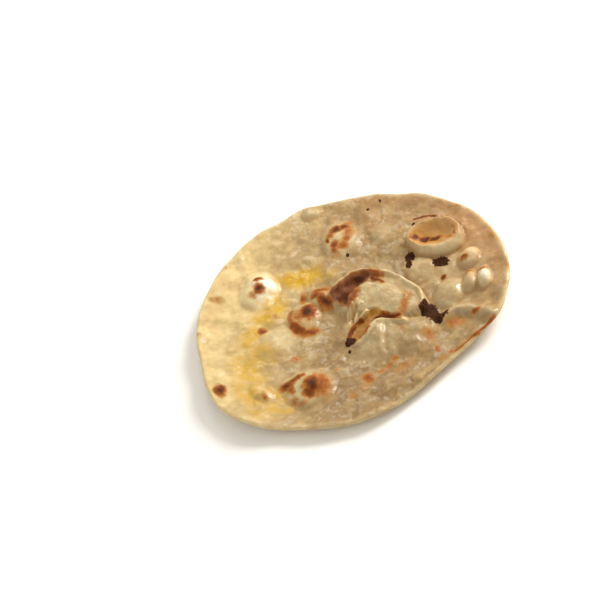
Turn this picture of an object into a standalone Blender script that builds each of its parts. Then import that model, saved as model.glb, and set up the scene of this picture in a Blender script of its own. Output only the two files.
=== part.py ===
"""Chapati flatbread: one piece, lying as it rests, with its blistered side up.

A hand-rolled disc of dough has baked into a shallow dish. Its upper face is one height field: the lifted
sheet, the waves left by the rolling pin, the closed blisters, a blister whose top has sunk in, a large
blister whose skin has torn open, and the low ridge of folded dough. The torn blister keeps its standing
back wall; its flap has fallen forward into the hollow, and a split opens in front of the flap. The
underside is the bare sheet, and it is flat in the middle, where the bread rests.

Frame: +X along the longest extent, +Z up, origin at the middle of the bread's box, on the resting plane.
Lengths in the tables are millimetres and angles are degrees. MM turns millimetres into Blender's metres.
"""

import bmesh
import bpy
import numpy as np

MM = 0.001
NODE = "flatbread"

# Outline: a circle with wide, shallow deviations, each a direction, a half width and an amount
RIM_RADIUS = 87.0
RIM_DEVIATIONS = (
    (-62.0, 46.0, -14.0),   # flattened side at the front right
    (-33.0, 10.0, 2.0),     # blunt corner at the end of the folded ridge
    (8.0, 56.0, 2.5),       # full right side
    (-100.0, 40.0, -5.0),   # front, a little short of round
    (-151.0, 29.0, 6.3),    # stretched left front
    (140.0, 60.0, -1.4),    # left back, a little short of round
    (78.0, 34.0, -2.8),     # shallow back
    (105.0, 9.0, -1.5),     # dent beside the edge blister
    (93.0, 8.0, 1.2),       # edge blister pushing out
)
BOX_MIDDLE = (1.05, 3.26)   # middle of the outline's box, which becomes the origin

# Sheet: its thickness, and how far each side lifts beyond a distance from the middle
THICKNESS = 3.2
EDGE_ROUNDING = 2.4
LIFTS = (
    # direction, starts at, run, height at the end of the run
    (12.0, 30.0, 60.0, 10.0),
    (172.0, 32.0, 56.0, 8.0),
    (95.0, 30.0, 56.0, 5.5),
    (-110.0, 30.0, 55.0, 4.0),
    (-45.0, 40.0, 40.0, 6.0),
)
WAVES = (
    # direction, wavelength, phase, amplitude
    (22.0, 47.0, 40.0, 0.40),
    (118.0, 36.0, 200.0, 0.34),
    (67.0, 27.0, 95.0, 0.22),
    (-38.0, 31.0, 310.0, 0.26),
)

# Closed blisters: centre, radii, turn, height, and how square their sides are (2 is a dome)
BLISTERS = (
    ((-44.4, 35.6), (12.8, 16.0), -10.0, 4.2, 2.2),     # left, two brown spots
    ((9.4, 53.0), (13.4, 16.0), 0.0, 3.2, 2.2),         # back, brown ring
    ((70.2, 1.0), (7.2, 8.2), -20.0, 4.8, 2.6),         # right, first of three
    ((72.0, -18.6), (5.0, 9.2), -14.0, 4.8, 2.6),       # right, second of three
    ((64.4, -15.4), (4.8, 9.4), -14.0, 4.0, 2.6),       # right, third of three
    ((52.6, -16.4), (10.4, 11.6), -25.0, 3.4, 2.3),     # pale, beside the big char
    ((43.6, 10.0), (9.4, 10.8), 0.0, 1.9, 2.2),         # low, between the two chars
    ((-26.4, 5.0), (10.2, 12.8), -15.0, 3.1, 2.2),      # browned, left of the tear
    ((-13.4, 14.6), (8.0, 10.0), 20.0, 3.1, 2.3),       # its neighbour
    ((-35.6, -44.6), (16.4, 14.6), -20.0, 4.2, 2.2),    # front, darkest brown
    ((-45.0, -6.4), (13.6, 13.2), 0.0, 2.4, 2.1),       # soft, left of the middle
    ((-27.4, 25.6), (8.6, 8.8), 0.0, 1.6, 2.1),         # low and pale, behind the browned ones
    ((-60.4, -39.4), (5.0, 8.6), 25.0, 2.4, 2.2),       # small, left front
    ((33.0, 46.0), (9.0, 9.6), 0.0, 1.3, 2.1),          # faint, back
    ((-0.6, 79.0), (7.4, 5.6), 0.0, 2.0, 2.2),          # on the back edge
)
PILLOW_POWER = 1.3          # how softly a blister meets the sheet
BLEND_POWER = 4.0           # how tightly neighbouring blisters meet

# Blister whose top has sunk in, leaving a ring that is a fat roll on one side
SUNKEN_CENTRE = (58.2, 24.6)
SUNKEN_RADII = (17.8, 13.0)
SUNKEN_TURN = -42.0
SUNKEN_RING_AT = 0.89       # share of the way out at which the ring is highest
SUNKEN_ROLL, SUNKEN_ROLL_DIRECTION = 0.26, -104.0
SUNKEN_RING_HEIGHT = 5.4
SUNKEN_WALL_POWER = 0.85
SUNKEN_FLOOR = 3.3
SUNKEN_FLOOR_RISE = 0.5     # the floor is this much higher at the back and lower at the front
SUNKEN_INNER_POWER = 2.0
TINY = 1e-6                 # keeps a division by a distance away from zero

# Torn blister: the foot of its skin, and how wide the shoulder is beside each point of the foot
TORN_FOOT = (
    (-12.4, 1.0), (-9.4, 12.6), (0.8, 20.0), (11.4, 21.2), (26.0, 13.2), (35.4, 1.6),
    (39.8, -10.4), (38.0, -23.4), (27.0, -31.0), (6.0, -27.0), (-8.6, -19.0),
)
TORN_SHOULDERS = (10.0, 4.0, 3.2, 3.2, 3.2, 2.8, 2.6, 5.0, 12.0, 12.0, 13.0)
SOFT_SHOULDERS = (4.0, 10.0)        # a shoulder is round up to the first width and soft from the second
# Its height is a plane that rises towards the back right, held between two heights
TORN_HEIGHTS = (1.8, 8.6)
TORN_LEVEL, TORN_TILT = 4.3, 0.28
TILT_ZERO, TILT_DIRECTION = (0.6, -2.4), 52.0
# The hollow between the back wall and the flap, and the wall's thick upper edge
HOLLOW = (
    (-4.5, 3.4), (-1.0, 8.4), (3.5, 12.2), (9.5, 13.4), (15.5, 11.6), (20.5, 8.0), (25.0, 3.6),
    (29.0, -1.2), (32.4, -6.4), (33.8, -12.0), (32.2, -17.5), (28.5, -21.8), (24.5, -25.0),
)
HOLLOW_HALF_WIDTHS = (0.3, 0.9, 1.2, 1.2, 1.2, 1.2, 1.2, 1.2, 1.2, 1.2, 1.2, 0.9, 0.3)
HOLLOW_FLOORS = (4.0, 3.2, 3.0, 3.2, 4.6, 6.0, 6.8, 7.0, 7.0, 6.8, 6.2, 5.0, 4.0)
HOLLOW_WALL = 6.2
CREST = (
    (-7.6, 10.6), (-3.1, 14.2), (2.5, 17.6), (8.3, 19.2), (13.8, 17.8), (24.8, 11.6), (33.7, 1.0),
    (38.2, -9.6), (38.4, -15.5), (36.2, -22.6),
)
CREST_HEIGHT, CREST_WIDTH = 0.6, 3.0
# The flap that has fallen forward: its outline from the left along its top, its tilt and its edge
FLAP = (
    (0.6, -2.4), (4.8, 2.8), (8.6, 7.0), (12.2, 8.3), (15.2, 6.8), (17.6, 2.6), (21.6, -1.3), (25.8, -4.4),
    (30.2, -7.8), (31.0, -10.4), (29.8, -13.4), (27.2, -17.2), (22.6, -20.6), (19.0, -18.0), (15.6, -16.4),
    (12.9, -14.6), (12.4, -11.8), (9.0, -10.4), (5.2, -10.4), (1.0, -7.6),
)
FLAP_LEVEL, FLAP_TILT, FLAP_EDGE_WIDTH = 4.7, 0.25, 1.3
# The split that opens in front of the flap, and the slit under the flap's edge
SPLIT = ((9.8, -13.8), (6.6, -16.4), (2.0, -18.6), (-2.6, -21.2), (-6.2, -24.2))
SPLIT_HALF_WIDTHS = (2.3, 2.9, 2.7, 2.3, 0.8)
SPLIT_FLOORS = (0.6, 0.6, 0.6, 0.8, 1.2)
SLIT = ((11.8, -15.8), (16.6, -18.4), (22.4, -22.0))
SLIT_HALF_WIDTHS = (1.4, 0.9, 0.4)
SLIT_FLOORS = (1.6, 2.4, 3.6)
SPLIT_WALL = 1.5                    # run of the walls, from the floor to the skin

# Dough in front of the split, its raised lip, and the folded ridge that runs to the corner
APRON_CENTRE, APRON_RADII, APRON_TURN, APRON_HEIGHT = (14.0, -25.0), (33.0, 21.0), -18.0, 4.6
APRON_POWER = 1.6
LIP = ((-3.6, -26.6), (2.9, -25.0), (5.9, -22.8), (9.6, -20.2), (14.2, -20.0), (20.0, -21.8), (24.4, -24.6))
LIP_HEIGHT, LIP_WIDTH = 1.5, 1.5
RIDGE = ((43.0, -31.3), (51.7, -29.3), (58.5, -31.8), (63.4, -38.6), (67.1, -47.7))
RIDGE_HEIGHT, RIDGE_WIDTH = 2.5, 3.4

# Mesh: squares across the upper face, a third as many across the underside, closest round the torn blister
SQUARES = 72
UNDERSIDE_STEP = 3
FOCUS = (0.30, -0.06)
FOCUS_WIDTH = 0.42
FOCUS_GAIN = 0.8
SPACING_SAMPLES = 2001
CURVE_STEPS = 4
SHARP_ANGLE = 60.0

CRUST_COLOUR = (0.63, 0.47, 0.25, 1.0)
CRUST_ROUGHNESS = 0.42


def in_direction(x, y, degrees):
    """Distance of a point from the middle, measured in one direction."""
    angle = np.radians(degrees)
    return x * np.cos(angle) + y * np.sin(angle)


def outline_radius(angle):
    """Distance from the middle to the rim, at an angle in radians."""
    radius = np.full_like(angle, RIM_RADIUS)
    for direction, half_width, amount in RIM_DEVIATIONS:
        away = (np.degrees(angle) - direction + 180.0) % 360.0 - 180.0
        inside = np.abs(away) < half_width
        radius += np.where(inside, amount * np.cos(np.pi / 2 * away / half_width) ** 2, 0.0)
    return radius


def sheet_height(x, y):
    """Height of the underside: flat in the middle, lifted towards the rim."""
    height = np.zeros_like(x)
    for direction, start, run, rise in LIFTS:
        past = np.maximum(0.0, in_direction(x, y, direction) - start)
        height += rise * (past / run) ** 2
    return height


def wave_height(x, y):
    """Long shallow waves left by rolling."""
    height = np.zeros_like(x)
    for direction, wavelength, phase, amplitude in WAVES:
        turns = in_direction(x, y, direction) / wavelength + phase / 360.0
        height += amplitude * np.sin(2.0 * np.pi * turns)
    return height


def ellipse_place(x, y, centre, radii, turn):
    """Coordinates along and across an ellipse, each 1 at its edge."""
    dx = x - centre[0]
    dy = y - centre[1]
    return in_direction(dx, dy, turn) / radii[0], in_direction(dx, dy, turn + 90.0) / radii[1]


def ellipse_distance(x, y, centre, radii, turn):
    """Distance from an ellipse's centre, 1 at its edge."""
    return np.hypot(*ellipse_place(x, y, centre, radii, turn))


def pillow(x, y, centre, radii, turn, height, squareness):
    """A closed blister: full on top, with sides that get steeper as squareness rises."""
    distance = ellipse_distance(x, y, centre, radii, turn)
    return height * np.maximum(0.0, 1.0 - distance ** squareness) ** PILLOW_POWER


def path_place(x, y, path):
    """Distance to a path, and the place of the nearest point counted in path points."""
    nearest = np.full_like(x, np.inf)
    place = np.zeros_like(x)
    for index, (start, end) in enumerate(zip(path, path[1:])):
        step = (end[0] - start[0], end[1] - start[1])
        share = ((x - start[0]) * step[0] + (y - start[1]) * step[1]) / (step[0] ** 2 + step[1] ** 2)
        share = np.clip(share, 0.0, 1.0)
        distance = np.hypot(x - start[0] - share * step[0], y - start[1] - share * step[1])
        closer = distance < nearest
        nearest = np.where(closer, distance, nearest)
        place = np.where(closer, index + share, place)
    return nearest, place


def bead(x, y, path, height, width):
    """A rounded ridge along a path, or a furrow where the height is negative."""
    distance, _ = path_place(x, y, path)
    return height * np.exp(-(distance / width) ** 2)


def cut_path(height, x, y, path, half_widths, floors, wall_width):
    """Lowers the height to a floor within a path, with smooth walls of a given width."""
    distance, place = path_place(x, y, path)
    half_width = np.interp(place, range(len(path)), half_widths)
    floor = np.interp(place, range(len(path)), floors)
    wall = np.clip((distance - half_width) / wall_width, 0.0, 1.0)
    open_share = 1.0 - wall * wall * (3.0 - 2.0 * wall)
    return height + open_share * np.minimum(0.0, floor - height)


def smooth_closed(points):
    """A smooth closed curve through points, as short straight steps."""
    here = np.array(points)
    before, after, later = np.roll(here, 1, 0), np.roll(here, -1, 0), np.roll(here, -2, 0)
    curve = []
    for t in np.arange(CURVE_STEPS) / CURVE_STEPS:
        line = (after - before) * t
        bend = (2.0 * before - 5.0 * here + 4.0 * after - later) * t ** 2
        twist = (3.0 * here - before - 3.0 * after + later) * t ** 3
        curve.append(here + 0.5 * (line + bend + twist))
    return np.stack(curve, 1).reshape(-1, 2)


def inside_distance(x, y, points):
    """How far inside a smooth closed curve each point is, and the nearest place along it in points."""
    curve = smooth_closed(points)
    closed = np.vstack((curve, curve[:1]))
    distance, place = path_place(x, y, closed)
    inside = np.zeros(x.shape, bool)
    for (ax, ay), (bx, by) in zip(closed, closed[1:]):
        if ay != by:
            inside ^= ((ay > y) != (by > y)) & (x < (bx - ax) * (y - ay) / (by - ay) + ax)
    return np.where(inside, distance, -distance), place / CURVE_STEPS


def sunken_place(x, y):
    """Distance from the sunken blister's centre, place across it, and where the ring's crest lies."""
    along, across = ellipse_place(x, y, SUNKEN_CENTRE, SUNKEN_RADII, SUNKEN_TURN)
    dx = x - SUNKEN_CENTRE[0]
    dy = y - SUNKEN_CENTRE[1]
    towards = in_direction(dx, dy, SUNKEN_ROLL_DIRECTION) / np.maximum(np.hypot(dx, dy), TINY)
    ring_at = SUNKEN_RING_AT - SUNKEN_ROLL * np.clip(towards, 0.0, 1.0)
    return np.hypot(along, across), across, ring_at


def sunken_height(x, y):
    """The ring left round the blister whose top has sunk in."""
    distance, across, ring_at = sunken_place(x, y)
    outside = np.clip((1.0 - distance) / (1.0 - ring_at), 0.0, 1.0)
    wall = SUNKEN_RING_HEIGHT * np.sin(np.pi / 2 * outside) ** SUNKEN_WALL_POWER
    inside = np.clip(distance / ring_at, 0.0, 1.0)
    rise = 0.5 - 0.5 * np.cos(np.pi * inside ** SUNKEN_INNER_POWER)
    floor = SUNKEN_FLOOR + SUNKEN_FLOOR_RISE * across
    return np.where(distance < ring_at, floor + (wall - floor) * rise, wall)


def tilted(x, y, level, tilt):
    """Height of a plane that rises towards the back right."""
    return level + tilt * in_direction(x - TILT_ZERO[0], y - TILT_ZERO[1], TILT_DIRECTION)


def torn_skin(x, y):
    """How far the torn blister covers each point, and its skin's height before anything is cut or added."""
    inside, place = inside_distance(x, y, TORN_FOOT)
    shoulders = TORN_SHOULDERS + TORN_SHOULDERS[:1]
    width = np.interp(place, range(len(shoulders)), shoulders)
    share = np.clip(inside / width, 0.0, 1.0)
    steep = np.sqrt(1.0 - (1.0 - share) ** 2)
    soft = share * share * (3.0 - 2.0 * share)
    cover = steep + (soft - steep) * np.interp(width, SOFT_SHOULDERS, (0.0, 1.0))
    return cover, cover * np.clip(tilted(x, y, TORN_LEVEL, TORN_TILT), *TORN_HEIGHTS)


def flap_height(x, y):
    """The fallen flap: a tilted sheet with a round edge, zero outside its outline."""
    inside, _ = inside_distance(x, y, FLAP)
    edge = np.clip(inside / FLAP_EDGE_WIDTH, 0.0, 1.0)
    return tilted(x, y, FLAP_LEVEL, FLAP_TILT) * np.sqrt(1.0 - (1.0 - edge) ** 2)


def torn_height(x, y):
    """The torn blister with its crest, hollow, flap and split, and the dough in front of it."""
    cover, skin = torn_skin(x, y)
    skin += cover * bead(x, y, CREST, CREST_HEIGHT, CREST_WIDTH)
    skin = cut_path(skin, x, y, HOLLOW, HOLLOW_HALF_WIDTHS, HOLLOW_FLOORS, HOLLOW_WALL)
    swell = ellipse_distance(x, y, APRON_CENTRE, APRON_RADII, APRON_TURN)
    apron = APRON_HEIGHT * np.maximum(0.0, 1.0 - swell ** 2) ** APRON_POWER
    apron += bead(x, y, LIP, LIP_HEIGHT, LIP_WIDTH)
    height = np.maximum(np.maximum(skin, flap_height(x, y)), apron)
    height = cut_path(height, x, y, SPLIT, SPLIT_HALF_WIDTHS, SPLIT_FLOORS, SPLIT_WALL)
    return cut_path(height, x, y, SLIT, SLIT_HALF_WIDTHS, SLIT_FLOORS, SPLIT_WALL)


def relief_height(x, y):
    """Everything that stands on the sheet."""
    heights = [pillow(x, y, *blister) for blister in BLISTERS]
    heights.append(sunken_height(x, y))
    heights.append(torn_height(x, y))
    heights.append(bead(x, y, RIDGE, RIDGE_HEIGHT, RIDGE_WIDTH))
    total = sum(np.maximum(height, 0.0) ** BLEND_POWER for height in heights)
    return total ** (1.0 / BLEND_POWER)


def spaced_line(focus):
    """Places from -1 to 1 that lie closer together round the focus."""
    fine = np.linspace(-1.0, 1.0, SPACING_SAMPLES)
    density = 1.0 + FOCUS_GAIN * np.exp(-((fine - focus) / FOCUS_WIDTH) ** 2)
    total = np.concatenate(([0.0], np.cumsum((density[1:] + density[:-1]) / 2.0)))
    return np.interp(np.linspace(0.0, total[-1], SQUARES + 1), total, fine)


def disc_grid():
    """Plan places of a square grid mapped onto the outline, and each one's share of the way to the rim."""
    across, up = np.meshgrid(spaced_line(FOCUS[0]), spaced_line(FOCUS[1]), indexing="ij")
    unit_x = across * np.sqrt(1.0 - up ** 2 / 2.0)
    unit_y = up * np.sqrt(1.0 - across ** 2 / 2.0)
    share = np.hypot(unit_x, unit_y)
    angle = np.arctan2(unit_y, unit_x)
    radius = share * outline_radius(angle)
    return radius * np.cos(angle), radius * np.sin(angle), np.minimum(share, 1.0)


def face_heights(x, y, share):
    """Heights of the upper and the lower face, which meet at the rim."""
    sheet = sheet_height(x, y)
    lifted = np.clip(sheet / THICKNESS, 0.0, 1.0)
    edge = np.clip(1.0 - (1.0 - share) * RIM_RADIUS / EDGE_ROUNDING, 0.0, 1.0)
    rounding = np.sqrt(1.0 - edge ** 2)
    middle = sheet + THICKNESS / 2.0 + lifted * wave_height(x, y)
    upper = middle + rounding * (THICKNESS / 2.0 + relief_height(x, y))
    upper += (1.0 - lifted) * rounding * wave_height(x, y)
    lower = middle - rounding * THICKNESS / 2.0
    return upper, lower


def build_flatbread():
    """One closed mesh: a fine grid on top, a coarse one below, joined at the rim."""
    x, y, share = disc_grid()
    upper, lower = face_heights(x, y, share)
    origin_x, origin_y = BOX_MIDDLE
    mesh = bmesh.new()

    def add(i, j, height):
        place = (x[i, j] - origin_x, y[i, j] - origin_y, height[i, j])
        return mesh.verts.new([length * MM for length in place])

    top = [[add(i, j, upper) for j in range(SQUARES + 1)] for i in range(SQUARES + 1)]
    for i in range(SQUARES):
        for j in range(SQUARES):
            mesh.faces.new((top[i][j], top[i + 1][j], top[i + 1][j + 1], top[i][j + 1]))

    on_rim = (0, SQUARES)
    steps = range(0, SQUARES + 1, UNDERSIDE_STEP)
    bottom = {}
    for i in steps:
        for j in steps:
            shared = i in on_rim or j in on_rim
            bottom[i, j] = top[i][j] if shared else add(i, j, lower)

    def side(start, end):
        """Corners from one grid place up to, but not including, the next, with every rim point between."""
        (i, j), (k, m) = start, end
        along_rim = (i == k and i in on_rim) or (j == m and j in on_rim)
        if not along_rim:
            return [bottom[start]]
        places = [(i + (k - i) * n // UNDERSIDE_STEP, j + (m - j) * n // UNDERSIDE_STEP)
                  for n in range(UNDERSIDE_STEP)]
        return [top[a][b] for a, b in places]

    for i in steps[:-1]:
        for j in steps[:-1]:
            right, back = i + UNDERSIDE_STEP, j + UNDERSIDE_STEP
            corners = ((i, j), (i, back), (right, back), (right, j))
            loop = [vertex for n in range(4) for vertex in side(corners[n], corners[(n + 1) % 4])]
            mesh.faces.new(loop)

    bmesh.ops.triangulate(mesh, faces=mesh.faces[:])
    data = bpy.data.meshes.new(NODE)
    mesh.to_mesh(data)
    mesh.free()
    data.shade_smooth()
    data.set_sharp_from_angle(angle=np.radians(SHARP_ANGLE))
    return data


def crust_material():
    """Pale baked dough with a buttered shine."""
    material = bpy.data.materials.new("baked_dough")
    material.use_nodes = True
    shader = material.node_tree.nodes["Principled BSDF"]
    shader.inputs["Base Color"].default_value = CRUST_COLOUR
    shader.inputs["Roughness"].default_value = CRUST_ROUGHNESS
    shader.inputs["Metallic"].default_value = 0.0
    return material


def main():
    for old in list(bpy.data.objects):
        bpy.data.objects.remove(old, do_unlink=True)
    flatbread = bpy.data.objects.new(NODE, build_flatbread())
    flatbread.data.materials.append(crust_material())
    bpy.context.scene.collection.objects.link(flatbread)


main()
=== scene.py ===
"""Looks of the chapati flatbread: its fine surface, its browning and its buttered shine, on a pale floor.

The bread is one closed mesh that stands for the node of the same name. Its large forms are the part's own
height fields, with the same named sizes, and puckers and small bubbles are added to them.
Masks for browning, char, butter, tone, painted shade and painted highlight are worked out for each vertex,
and the material breaks them up.

Lengths in the tables are millimetres and angles are degrees. MM turns millimetres into Blender's metres.
"""

import bpy
import numpy as np
from mathutils import Matrix, Vector


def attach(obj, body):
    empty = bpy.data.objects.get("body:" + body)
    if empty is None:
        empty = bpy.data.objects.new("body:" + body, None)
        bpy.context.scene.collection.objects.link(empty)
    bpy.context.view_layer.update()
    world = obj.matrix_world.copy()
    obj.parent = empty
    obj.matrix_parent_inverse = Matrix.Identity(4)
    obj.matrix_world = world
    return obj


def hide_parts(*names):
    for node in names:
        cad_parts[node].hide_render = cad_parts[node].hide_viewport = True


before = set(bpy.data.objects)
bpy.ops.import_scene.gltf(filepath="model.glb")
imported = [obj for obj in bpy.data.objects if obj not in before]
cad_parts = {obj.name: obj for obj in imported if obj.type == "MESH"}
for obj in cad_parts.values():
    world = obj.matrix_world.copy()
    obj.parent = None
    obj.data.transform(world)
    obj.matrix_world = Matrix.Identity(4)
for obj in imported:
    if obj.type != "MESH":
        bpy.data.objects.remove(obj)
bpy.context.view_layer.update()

MM = 0.001
NODE = "flatbread"
BODY = "root"

# Outline: a circle with wide, shallow deviations, each a direction, a half width and an amount
RIM_RADIUS = 87.0
RIM_DEVIATIONS = (
    (-62.0, 46.0, -14.0),
    (-33.0, 10.0, 2.0),
    (8.0, 56.0, 2.5),
    (-100.0, 40.0, -5.0),
    (-151.0, 29.0, 6.3),
    (140.0, 60.0, -1.4),
    (78.0, 34.0, -2.8),
    (105.0, 9.0, -1.5),
    (93.0, 8.0, 1.2),
)
BOX_MIDDLE = (1.05, 3.26)

# Sheet: thickness, and for each lifted side its direction, start, run and height
THICKNESS = 3.2
EDGE_ROUNDING = 2.4
LIFTS = (
    (12.0, 30.0, 60.0, 10.0),
    (172.0, 32.0, 56.0, 8.0),
    (95.0, 30.0, 56.0, 5.5),
    (-110.0, 30.0, 55.0, 4.0),
    (-45.0, 40.0, 40.0, 6.0),
)
WAVES = (
    (22.0, 47.0, 40.0, 0.40),
    (118.0, 36.0, 200.0, 0.34),
    (67.0, 27.0, 95.0, 0.22),
    (-38.0, 31.0, 310.0, 0.26),
)

# Closed blisters: centre, radii, turn, height and squareness
BLISTERS = (
    ((-44.4, 35.6), (12.8, 16.0), -10.0, 4.2, 2.2),
    ((9.4, 53.0), (13.4, 16.0), 0.0, 3.2, 2.2),
    ((70.2, 1.0), (7.2, 8.2), -20.0, 4.8, 2.6),
    ((72.0, -18.6), (5.0, 9.2), -14.0, 4.8, 2.6),
    ((64.4, -15.4), (4.8, 9.4), -14.0, 4.0, 2.6),
    ((52.6, -16.4), (10.4, 11.6), -25.0, 3.4, 2.3),
    ((43.6, 10.0), (9.4, 10.8), 0.0, 1.9, 2.2),
    ((-26.4, 5.0), (10.2, 12.8), -15.0, 3.1, 2.2),
    ((-13.4, 14.6), (8.0, 10.0), 20.0, 3.1, 2.3),
    ((-35.6, -44.6), (16.4, 14.6), -20.0, 4.2, 2.2),
    ((-45.0, -6.4), (13.6, 13.2), 0.0, 2.4, 2.1),
    ((-27.4, 25.6), (8.6, 8.8), 0.0, 1.6, 2.1),
    ((-60.4, -39.4), (5.0, 8.6), 25.0, 2.4, 2.2),
    ((33.0, 46.0), (9.0, 9.6), 0.0, 1.3, 2.1),
    ((-0.6, 79.0), (7.4, 5.6), 0.0, 2.0, 2.2),
)
PILLOW_POWER = 1.3
BLEND_POWER = 4.0

# Blister whose top has sunk in, leaving a ring
SUNKEN_CENTRE = (58.2, 24.6)
SUNKEN_RADII = (17.8, 13.0)
SUNKEN_TURN = -42.0
SUNKEN_RING_AT = 0.89
SUNKEN_ROLL, SUNKEN_ROLL_DIRECTION = 0.26, -104.0
SUNKEN_RING_HEIGHT = 5.4
SUNKEN_WALL_POWER = 0.85
SUNKEN_FLOOR = 3.3
SUNKEN_FLOOR_RISE = 0.5
SUNKEN_INNER_POWER = 2.0
TINY = 1e-6

# Torn blister: the foot of its skin, and how wide its shoulder is beside each point of the foot
TORN_FOOT = (
    (-12.4, 1.0), (-9.4, 12.6), (0.8, 20.0), (11.4, 21.2), (26.0, 13.2), (35.4, 1.6),
    (39.8, -10.4), (38.0, -23.4), (27.0, -31.0), (6.0, -27.0), (-8.6, -19.0),
)
TORN_SHOULDERS = (10.0, 4.0, 3.2, 3.2, 3.2, 2.8, 2.6, 5.0, 12.0, 12.0, 13.0)
SOFT_SHOULDERS = (4.0, 10.0)
TORN_HEIGHTS = (1.8, 8.6)
TORN_LEVEL, TORN_TILT = 4.3, 0.28
TILT_ZERO, TILT_DIRECTION = (0.6, -2.4), 52.0
# The hollow between its standing back wall and its flap, and the wall's edge above
HOLLOW = (
    (-4.5, 3.4), (-1.0, 8.4), (3.5, 12.2), (9.5, 13.4), (15.5, 11.6), (20.5, 8.0), (25.0, 3.6),
    (29.0, -1.2), (32.4, -6.4), (33.8, -12.0), (32.2, -17.5), (28.5, -21.8), (24.5, -25.0),
)
HOLLOW_HALF_WIDTHS = (0.3, 0.9, 1.2, 1.2, 1.2, 1.2, 1.2, 1.2, 1.2, 1.2, 1.2, 0.9, 0.3)
HOLLOW_FLOORS = (4.0, 3.2, 3.0, 3.2, 4.6, 6.0, 6.8, 7.0, 7.0, 6.8, 6.2, 5.0, 4.0)
HOLLOW_WALL = 6.2
CREST = (
    (-7.6, 10.6), (-3.1, 14.2), (2.5, 17.6), (8.3, 19.2), (13.8, 17.8), (24.8, 11.6), (33.7, 1.0),
    (38.2, -9.6), (38.4, -15.5), (36.2, -22.6),
)
CREST_HEIGHT, CREST_WIDTH = 0.6, 3.0
# The flap that has fallen forward: its outline from the left along its top, its tilt and its edge
FLAP = (
    (0.6, -2.4), (4.8, 2.8), (8.6, 7.0), (12.2, 8.3), (15.2, 6.8), (17.6, 2.6), (21.6, -1.3), (25.8, -4.4),
    (30.2, -7.8), (31.0, -10.4), (29.8, -13.4), (27.2, -17.2), (22.6, -20.6), (19.0, -18.0), (15.6, -16.4),
    (12.9, -14.6), (12.4, -11.8), (9.0, -10.4), (5.2, -10.4), (1.0, -7.6),
)
FLAP_LEVEL, FLAP_TILT, FLAP_EDGE_WIDTH = 4.7, 0.25, 1.3
# Strands beside the flap, where the skin has stretched
STRANDS = (
    ((1.6, -2.0), (-2.2, -7.6), (-4.2, -12.4)),
    ((6.0, -4.4), (1.8, -7.2), (-1.4, -12.6)),
    ((6.4, -10.6), (3.0, -11.8), (0.4, -14.4)),
)
STRAND_HEIGHT, STRAND_WIDTH = 1.7, 1.1
STRAND_GAPS = (((-0.2, -3.6), (-3.4, -10.2)), ((3.2, -5.6), (-1.2, -10.2), (-3.2, -14.6)))
STRAND_GAP_DEPTH, STRAND_GAP_WIDTH = 1.5, 0.8
SPLIT = ((9.8, -13.8), (6.6, -16.4), (2.0, -18.6), (-2.6, -21.2), (-6.2, -24.2))
SPLIT_HALF_WIDTHS = (2.3, 2.9, 2.7, 2.3, 0.8)
SPLIT_FLOORS = (0.6, 0.6, 0.6, 0.8, 1.2)
SLIT = ((11.8, -15.8), (16.6, -18.4), (22.4, -22.0))
SLIT_HALF_WIDTHS = (1.4, 0.9, 0.4)
SLIT_FLOORS = (1.6, 2.4, 3.6)
SPLIT_WALL = 1.5

# Dough in front of the split: its swell, its lip, its pleats, and the folded ridge that runs to the corner
APRON = ((14.0, -25.0), (33.0, 21.0), -18.0)
APRON_HEIGHT, APRON_POWER = 4.6, 1.6
LIP = ((-3.6, -26.6), (2.9, -25.0), (5.9, -22.8), (9.6, -20.2), (14.2, -20.0), (20.0, -21.8), (24.4, -24.6))
LIP_HEIGHT, LIP_WIDTH = 1.5, 1.5
PLEATS = (
    (((11.2, -20.6), (10.6, -26.4), (9.0, -32.8), (6.0, -37.4)), 0.8, 2.3),
    (((14.4, -22.6), (12.4, -30.4), (9.4, -38.0)), -0.6, 1.7),
    (((20.6, -25.6), (19.4, -33.1), (15.3, -42.6)), -0.5, 2.3),
    (((28.0, -27.0), (28.0, -34.0), (25.4, -42.0)), 0.4, 2.6),
    (((-8.0, -25.6), (-14.1, -28.4), (-18.9, -31.2), (-25.0, -33.8)), -0.9, 1.2),
    (((-6.0, -27.6), (-12.6, -30.8), (-18.0, -34.0), (-24.0, -37.0)), 0.7, 1.8),
)
RIDGE = ((43.0, -31.3), (51.7, -29.3), (58.5, -31.8), (63.4, -38.6), (67.1, -47.7))
RIDGE_HEIGHT, RIDGE_WIDTH = 2.5, 3.4

# Mesh: squares each way, closer together near the torn blister, and coarser squares below
SQUARES = (300, 288)
UNDERSIDE_STEP = 4
FOCUS = (0.20, -0.06)
FOCUS_WIDTH = 0.34
FOCUS_GAIN = 1.3
SPACING_SAMPLES = 4001
# Straight steps between two points of a smooth outline
CURVE_STEPS = 4

# Map for baking: its name, its margin, and the shares of it that the upper and the lower face take
MAP_NAME = "OFBake"
MAP_MARGIN, MAP_TOP, MAP_BOTTOM = 0.004, 0.84, 0.14

# Uneven outlines of everything that stands on the sheet: size of a bend and how far it bends
BENDS = ((14.0, 1.1), (6.0, 0.36))

# Fine relief: size of a pucker and its height
PUCKERS = ((14.0, 0.85), (7.0, 0.50), (3.6, 0.17), (1.8, 0.06))
# Small bubbles: how many, their radius, their length and their height for it, and how square they are
SMALL_BUBBLES = 170
SMALL_BUBBLE_RADII = (1.0, 3.2)
SMALL_BUBBLE_LENGTHS = (0.8, 1.5)
SMALL_BUBBLE_SHARE = 0.13
SMALL_BUBBLE_SQUARENESS = 2.0
# How far out they lie, as a share of the rim's radius, and how far each can reach, in its own radii
SMALL_BUBBLES_OUT, SMALL_BUBBLE_REACH = 0.95, 4.0

# Noise: how far its lattice reaches, in rim radii, its spare lattice points and its strength
NOISE_REACH, NOISE_SPARE, NOISE_STRENGTH = 1.7, 4, 1.5
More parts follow.
